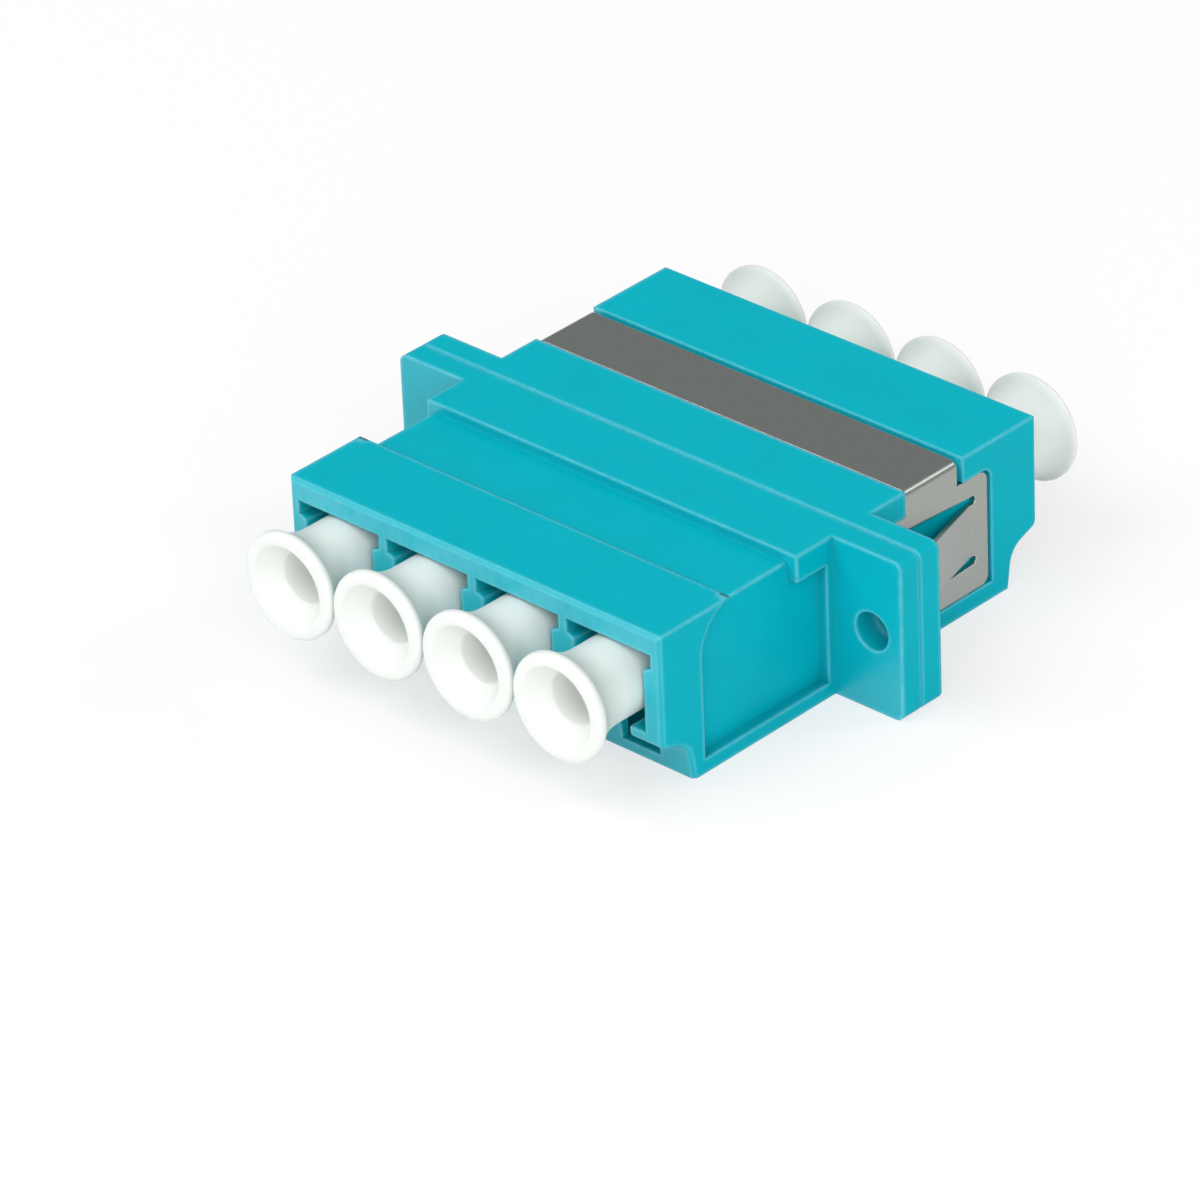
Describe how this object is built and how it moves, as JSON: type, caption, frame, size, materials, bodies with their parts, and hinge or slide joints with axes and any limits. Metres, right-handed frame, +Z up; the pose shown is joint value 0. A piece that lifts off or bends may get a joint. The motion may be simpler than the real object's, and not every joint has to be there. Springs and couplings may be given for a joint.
{
  "type": "fibre optic adapter",
  "caption": "Flat fibre adapter with a row of latched plug ports on both faces, a screw flange, a spring panel clip and pull-out dust caps.",
  "frame": {"origin": "middle of the part's footprint, on the underside of the housing", "axes": "+X along the row of ports, +Y the way a plug moves into the front ports, +Z up; the front ports face -Y"},
  "size_m": [0.0348, 0.0368, 0.0093],
  "materials": {
    "housing": "satin injection moulding",
    "sleeve": "ground ceramic",
    "clip": "rolled stainless sheet",
    "cap": "soft moulded plastic"
  },
  "bodies": {
    "adapter": {"front_housing": "housing", "rear_housing": "housing", "panel_clip": "clip", "alignment_sleeve_1": "sleeve", "alignment_sleeve_2": "sleeve", "alignment_sleeve_3": "sleeve", "alignment_sleeve_4": "sleeve"},
    "cap_front_1": {"dust_cap_front_1": "cap"},
    "cap_front_2": {"dust_cap_front_2": "cap"},
    "cap_front_3": {"dust_cap_front_3": "cap"},
    "cap_front_4": {"dust_cap_front_4": "cap"},
    "cap_rear_1": {"dust_cap_rear_1": "cap"},
    "cap_rear_2": {"dust_cap_rear_2": "cap"},
    "cap_rear_3": {"dust_cap_rear_3": "cap"},
    "cap_rear_4": {"dust_cap_rear_4": "cap"}
  },
  "joints": [
    {"name": "pull_cap_front_1", "type": "slide", "parent": "adapter", "child": "cap_front_1", "axis": [0, -1, 0], "range_m": [0, 0.03]},
    {"name": "pull_cap_front_2", "type": "slide", "parent": "adapter", "child": "cap_front_2", "axis": [0, -1, 0], "range_m": [0, 0.03]},
    {"name": "pull_cap_front_3", "type": "slide", "parent": "adapter", "child": "cap_front_3", "axis": [0, -1, 0], "range_m": [0, 0.03]},
    {"name": "pull_cap_front_4", "type": "slide", "parent": "adapter", "child": "cap_front_4", "axis": [0, -1, 0], "range_m": [0, 0.03]},
    {"name": "pull_cap_rear_1", "type": "slide", "parent": "adapter", "child": "cap_rear_1", "axis": [0, 1, 0], "range_m": [0, 0.03]},
    {"name": "pull_cap_rear_2", "type": "slide", "parent": "adapter", "child": "cap_rear_2", "axis": [0, 1, 0], "range_m": [0, 0.03]},
    {"name": "pull_cap_rear_3", "type": "slide", "parent": "adapter", "child": "cap_rear_3", "axis": [0, 1, 0], "range_m": [0, 0.03]},
    {"name": "pull_cap_rear_4", "type": "slide", "parent": "adapter", "child": "cap_rear_4", "axis": [0, 1, 0], "range_m": [0, 0.03]}
  ]
}
